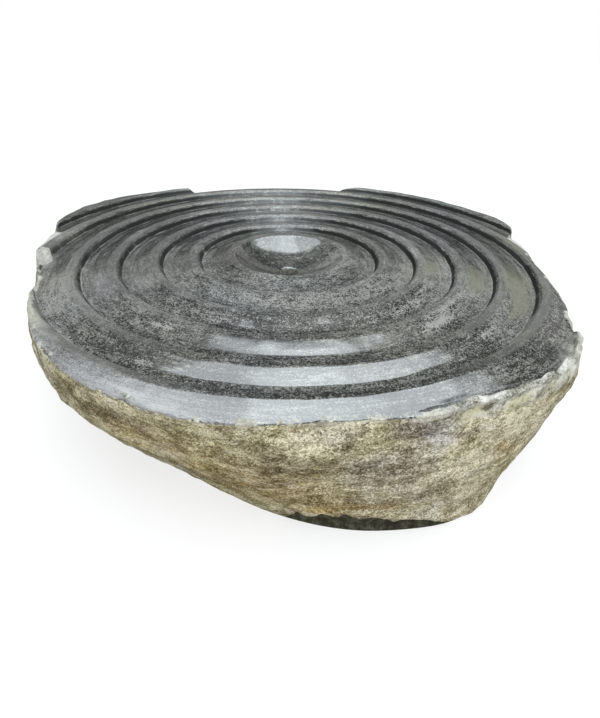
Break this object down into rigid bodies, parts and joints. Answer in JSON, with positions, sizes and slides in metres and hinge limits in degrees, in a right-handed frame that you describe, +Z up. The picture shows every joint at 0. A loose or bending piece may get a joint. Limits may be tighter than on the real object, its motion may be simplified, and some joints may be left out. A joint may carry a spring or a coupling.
{
  "type": "water basin",
  "caption": "Low river-stone water basin: flat sawn foot, undercut natural sides, top carved in concentric ripple steps round a small bowl with a drilled hole.",
  "frame": {"origin": "on the axis of the rings and of the drilled hole, in the flat foot that the stone rests on", "axes": "+Z up along the ring axis, -Y towards the side that faces the viewer in the picture"},
  "size_m": [0.5767, 0.58, 0.15],
  "materials": {
    "river_stone": "dark grey ground stone above, buff weathered skin on the sides"
  },
  "bodies": {
    "root": {"river_stone_basin": "river_stone"}
  },
  "joints": []
}
